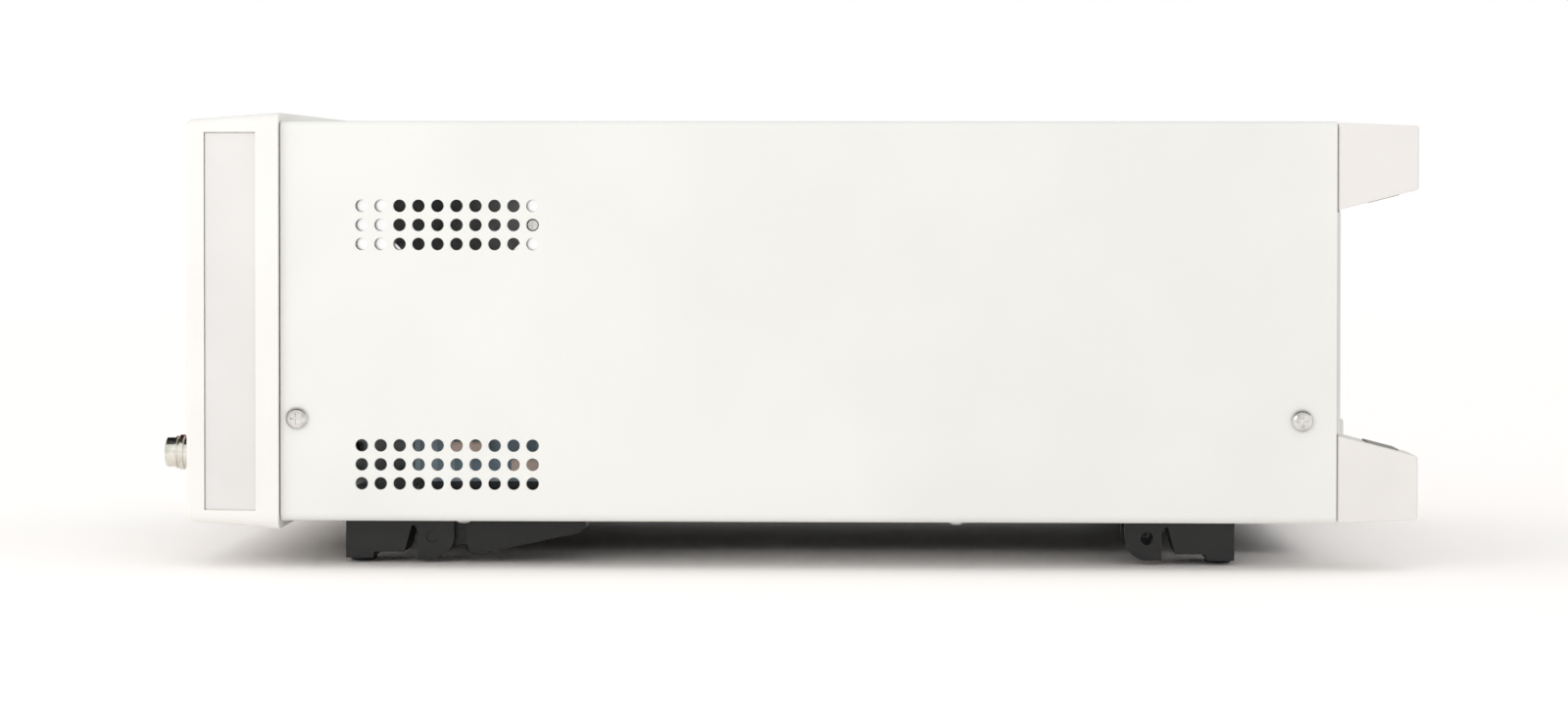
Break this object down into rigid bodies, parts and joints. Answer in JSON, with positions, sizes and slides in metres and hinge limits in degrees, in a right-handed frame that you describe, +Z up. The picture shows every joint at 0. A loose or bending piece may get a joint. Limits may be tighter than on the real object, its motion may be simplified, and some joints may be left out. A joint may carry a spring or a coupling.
{
  "type": "bench power supply",
  "caption": "Half-rack bench power supply with a front bezel, display, keys and sockets, vented cover, rear bumpers and folding tilt legs.",
  "frame": {"origin": "on the bench, under the middle of the whole part's box", "axes": "-Y out of the front panel, +X to the right of someone facing the front, +Z up"},
  "size_m": [0.2202, 0.3998, 0.1438],
  "materials": {
    "cover_paint": "satin powder coat",
    "plated_sheet": "satin zinc plate",
    "rear_paint": "satin powder coat",
    "bezel_plastic": "fine moulded texture",
    "strip_plastic": "matt",
    "panel_plastic": "matt",
    "window_plastic": "gloss tinted",
    "dark_plastic": "matt",
    "circuit_board": "solder mask",
    "nickel": "bright nickel",
    "knob_plastic": "satin",
    "white_insulator": "waxy",
    "gilt": "bright",
    "red_plastic": "gloss",
    "black_gloss": "gloss",
    "green_plastic": "gloss",
    "black_plastic": "satin",
    "pad_rubber": "matt",
    "bumper_plastic": "matt",
    "winding_tape": "polyester tape",
    "aluminium": "anodised",
    "can_sleeve": "shrink sleeve",
    "ribbon": "pvc",
    "terminal_plastic": "satin",
    "output_key_plastic": "matt",
    "key_plastic": "matt"
  },
  "bodies": {
    "case": {"cover": "cover_paint", "chassis": "plated_sheet", "front_bulkhead": "plated_sheet", "cross_brace": "plated_sheet", "rear_panel": "rear_paint", "bezel": "bezel_plastic", "bezel_side_strips": "strip_plastic", "front_panel": "panel_plastic", "display_window": "window_plastic", "display_module": "dark_plastic", "keyboard_board": "circuit_board", "encoder_body": "plated_sheet", "bnc_shell": "nickel", "bnc_insulator": "white_insulator", "bnc_contact": "gilt", "panel_nuts": "nickel", "red_sockets": "red_plastic", "black_sockets": "black_gloss", "earth_socket": "green_plastic", "socket_contacts": "nickel", "power_switch": "dark_plastic", "feet": "black_plastic", "foot_pads": "pad_rubber", "rear_bumpers": "bumper_plastic", "side_screws": "nickel", "bottom_screws": "nickel", "inner_screws": "nickel", "rear_screws": "nickel", "fan_frame": "dark_plastic", "fan_guard": "nickel", "transformer": "winding_tape", "transformer_clamp": "plated_sheet", "heatsink": "aluminium", "power_transistors": "dark_plastic", "main_board": "circuit_board", "board_standoffs": "gilt", "capacitors": "can_sleeve", "output_board": "circuit_board", "ribbon_cable": "ribbon", "inlet_housing": "dark_plastic", "inlet_blades": "nickel", "rear_terminals": "terminal_plastic", "data_ports": "plated_sheet"},
    "knob": {"adjust_knob": "knob_plastic", "encoder_shaft": "nickel"},
    "fan": {"fan_rotor": "dark_plastic"},
    "leg_left": {"tilt_leg_left": "black_plastic"},
    "leg_right": {"tilt_leg_right": "black_plastic"},
    "drawer": {"fuse_drawer": "dark_plastic"},
    "output_button": {"output_key": "output_key_plastic"},
    "power": {"power_button": "key_plastic"},
    "key_1_cap": {"key_1": "key_plastic"},
    "key_2_cap": {"key_2": "key_plastic"},
    "key_3_cap": {"key_3": "key_plastic"},
    "key_4_cap": {"key_4": "key_plastic"},
    "key_5_cap": {"key_5": "key_plastic"},
    "key_6_cap": {"key_6": "key_plastic"},
    "key_7_cap": {"key_7": "key_plastic"},
    "key_8_cap": {"key_8": "key_plastic"},
    "key_9_cap": {"key_9": "key_plastic"}
  },
  "joints": [
    {"name": "knob_turn", "type": "hinge", "parent": "case", "child": "knob", "pos_m": [0.072, -0.1876, 0.1082], "axis": [0, 1, 0], "continuous": true},
    {"name": "fan_spin", "type": "hinge", "parent": "case", "child": "fan", "pos_m": [0.038, 0.1624, 0.077], "axis": [0, 1, 0], "continuous": true},
    {"name": "left_leg_fold", "type": "hinge", "parent": "case", "child": "leg_left", "pos_m": [-0.076, -0.1121, 0.0085], "axis": [-1, 0, 0], "range_deg": [0, 95]},
    {"name": "right_leg_fold", "type": "hinge", "parent": "case", "child": "leg_right", "pos_m": [0.076, -0.1121, 0.0085], "axis": [-1, 0, 0], "range_deg": [0, 95]},
    {"name": "fuse_drawer_slide", "type": "slide", "parent": "case", "child": "drawer", "axis": [0, 1, 0], "range_m": [0, 0.014]},
    {"name": "output_press", "type": "slide", "parent": "case", "child": "output_button", "axis": [0, 1, 0], "range_m": [0, 0.0015], "stiffness_N_per_m": 400},
    {"name": "power_press", "type": "slide", "parent": "case", "child": "power", "axis": [0, 1, 0], "range_m": [0, 0.003], "stiffness_N_per_m": 400},
    {"name": "key_1_press", "type": "slide", "parent": "case", "child": "key_1_cap", "axis": [0, 1, 0], "range_m": [0, 0.0015], "stiffness_N_per_m": 400},
    {"name": "key_2_press", "type": "slide", "parent": "case", "child": "key_2_cap", "axis": [0, 1, 0], "range_m": [0, 0.0015], "stiffness_N_per_m": 400},
    {"name": "key_3_press", "type": "slide", "parent": "case", "child": "key_3_cap", "axis": [0, 1, 0], "range_m": [0, 0.0015], "stiffness_N_per_m": 400},
    {"name": "key_4_press", "type": "slide", "parent": "case", "child": "key_4_cap", "axis": [0, 1, 0], "range_m": [0, 0.0015], "stiffness_N_per_m": 400},
    {"name": "key_5_press", "type": "slide", "parent": "case", "child": "key_5_cap", "axis": [0, 1, 0], "range_m": [0, 0.0015], "stiffness_N_per_m": 400},
    {"name": "key_6_press", "type": "slide", "parent": "case", "child": "key_6_cap", "axis": [0, 1, 0], "range_m": [0, 0.0015], "stiffness_N_per_m": 400},
    {"name": "key_7_press", "type": "slide", "parent": "case", "child": "key_7_cap", "axis": [0, 1, 0], "range_m": [0, 0.0015], "stiffness_N_per_m": 400},
    {"name": "key_8_press", "type": "slide", "parent": "case", "child": "key_8_cap", "axis": [0, 1, 0], "range_m": [0, 0.0015], "stiffness_N_per_m": 400},
    {"name": "key_9_press", "type": "slide", "parent": "case", "child": "key_9_cap", "axis": [0, 1, 0], "range_m": [0, 0.0015], "stiffness_N_per_m": 400}
  ]
}
